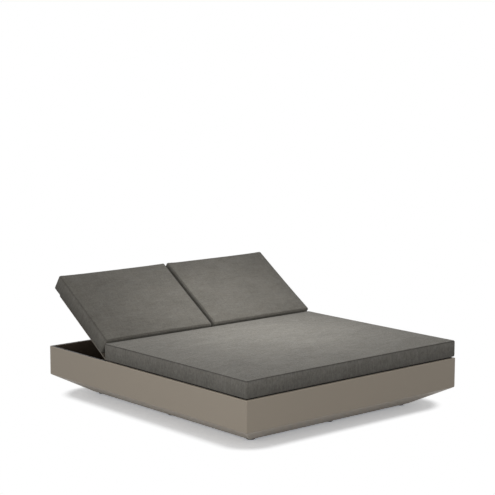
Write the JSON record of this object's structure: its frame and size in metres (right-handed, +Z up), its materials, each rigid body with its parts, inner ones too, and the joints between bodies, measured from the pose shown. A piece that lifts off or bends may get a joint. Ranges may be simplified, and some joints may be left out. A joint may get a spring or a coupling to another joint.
{
  "type": "double chaise lounger",
  "caption": "Wide outdoor daybed: floating taupe base with one seat mattress and separate reclining backs over an open well.",
  "frame": {"origin": "on the floor under the middle of the base", "axes": "+Z up, +Y towards the head end where the backs stand, +X across to the right seen from the foot end"},
  "size_m": [1.8, 2.03, 0.79],
  "materials": {
    "taupe_shell": "smooth satin moulded shell",
    "black_liner": "matte black moulded lining",
    "deck_panel": "matte compact panel",
    "back_panel": "satin compact panel",
    "black_aluminium": "black powder coat",
    "stainless": "brushed",
    "black_steel": "black powder coat",
    "black_nylon": "moulded, fine grain",
    "foot_rubber": "matte",
    "seat_fabric": "woven outdoor cloth",
    "back_fabric": "woven outdoor cloth"
  },
  "bodies": {
    "base": {"base_shell": "taupe_shell", "feet": "foot_rubber", "foot_screws": "stainless", "deck_bearers": "black_aluminium", "hinge_rail": "black_aluminium", "centre_posts": "black_aluminium", "end_brackets": "black_aluminium", "bracket_bolts": "stainless", "deck_screws": "stainless", "well_tray": "black_liner", "bulkhead": "black_liner", "rim_buffers": "foot_rubber", "seat_mattress": "seat_fabric", "left_deck_board": "deck_panel", "left_hinge_fixed_leaves": "stainless", "left_hinge_pins": "stainless", "left_fixed_screws": "stainless", "left_stay_spreader": "black_nylon", "left_stay_base_clevis": "black_steel", "left_stay_base_pin": "stainless", "left_stay_base_bolts": "stainless", "right_deck_board": "deck_panel", "right_hinge_fixed_leaves": "stainless", "right_hinge_pins": "stainless", "right_fixed_screws": "stainless", "right_stay_spreader": "black_nylon", "right_stay_base_clevis": "black_steel", "right_stay_base_pin": "stainless", "right_stay_base_bolts": "stainless"},
    "left_back": {"left_hinge_moving_leaves": "stainless", "left_moving_screws": "stainless", "left_back_board": "back_panel", "left_frame_cross_rails": "black_aluminium", "left_frame_side_rails": "black_aluminium", "left_board_screws": "stainless", "left_stay_top_clevis": "black_steel", "left_stay_top_pin": "stainless", "left_stay_top_bolts": "stainless"},
    "left_stay_lower": {"left_stay_tube": "black_steel", "left_stay_latch": "black_nylon"},
    "left_stay_upper": {"left_stay_rod": "stainless", "left_stay_guide": "black_nylon"},
    "left_cushion": {"left_back_cushion": "back_fabric"},
    "right_back": {"right_hinge_moving_leaves": "stainless", "right_moving_screws": "stainless", "right_back_board": "back_panel", "right_frame_cross_rails": "black_aluminium", "right_frame_side_rails": "black_aluminium", "right_board_screws": "stainless", "right_stay_top_clevis": "black_steel", "right_stay_top_pin": "stainless", "right_stay_top_bolts": "stainless"},
    "right_stay_lower": {"right_stay_tube": "black_steel", "right_stay_latch": "black_nylon"},
    "right_stay_upper": {"right_stay_rod": "stainless", "right_stay_guide": "black_nylon"},
    "right_cushion": {"right_back_cushion": "back_fabric"}
  },
  "joints": [
    {"name": "left_back_tilt", "type": "hinge", "parent": "base", "child": "left_back", "pos_m": [-0.45, 0.374, 0.325], "axis": [1, 0, 0], "range_deg": [-34, 16]},
    {"name": "left_stay_swing", "type": "hinge", "parent": "base", "child": "left_stay_lower", "pos_m": [-0.45, 0.50148, 0.07481], "axis": [1, 0, 0], "range_deg": [-17.1, 8.1]},
    {"name": "left_stay_fold", "type": "hinge", "parent": "left_back", "child": "left_stay_upper", "pos_m": [-0.45, 0.62937, 0.44176], "axis": [1, 0, 0], "range_deg": [-8.1, 17.1]},
    {"name": "left_cushion_slide", "type": "slide", "parent": "left_back", "child": "left_cushion", "axis": [0, 0.829, 0.5592], "range_m": [-0.0572, 0.027]},
    {"name": "right_back_tilt", "type": "hinge", "parent": "base", "child": "right_back", "pos_m": [0.45, 0.374, 0.325], "axis": [1, 0, 0], "range_deg": [-34, 16]},
    {"name": "right_stay_swing", "type": "hinge", "parent": "base", "child": "right_stay_lower", "pos_m": [0.45, 0.50148, 0.07481], "axis": [1, 0, 0], "range_deg": [-17.1, 8.1]},
    {"name": "right_stay_fold", "type": "hinge", "parent": "right_back", "child": "right_stay_upper", "pos_m": [0.45, 0.62937, 0.44176], "axis": [1, 0, 0], "range_deg": [-8.1, 17.1]},
    {"name": "right_cushion_slide", "type": "slide", "parent": "right_back", "child": "right_cushion", "axis": [0, 0.829, 0.5592], "range_m": [-0.0572, 0.027]}
  ],
  "couplings": [
    {"joint": "left_stay_swing", "follows": "left_back_tilt", "ratio": 0.5},
    {"joint": "left_stay_fold", "follows": "left_back_tilt", "ratio": -0.5},
    {"joint": "left_cushion_slide", "follows": "left_back_tilt", "m_per_rad": 0.096},
    {"joint": "right_stay_swing", "follows": "right_back_tilt", "ratio": 0.5},
    {"joint": "right_stay_fold", "follows": "right_back_tilt", "ratio": -0.5},
    {"joint": "right_cushion_slide", "follows": "right_back_tilt", "m_per_rad": 0.096}
  ]
}
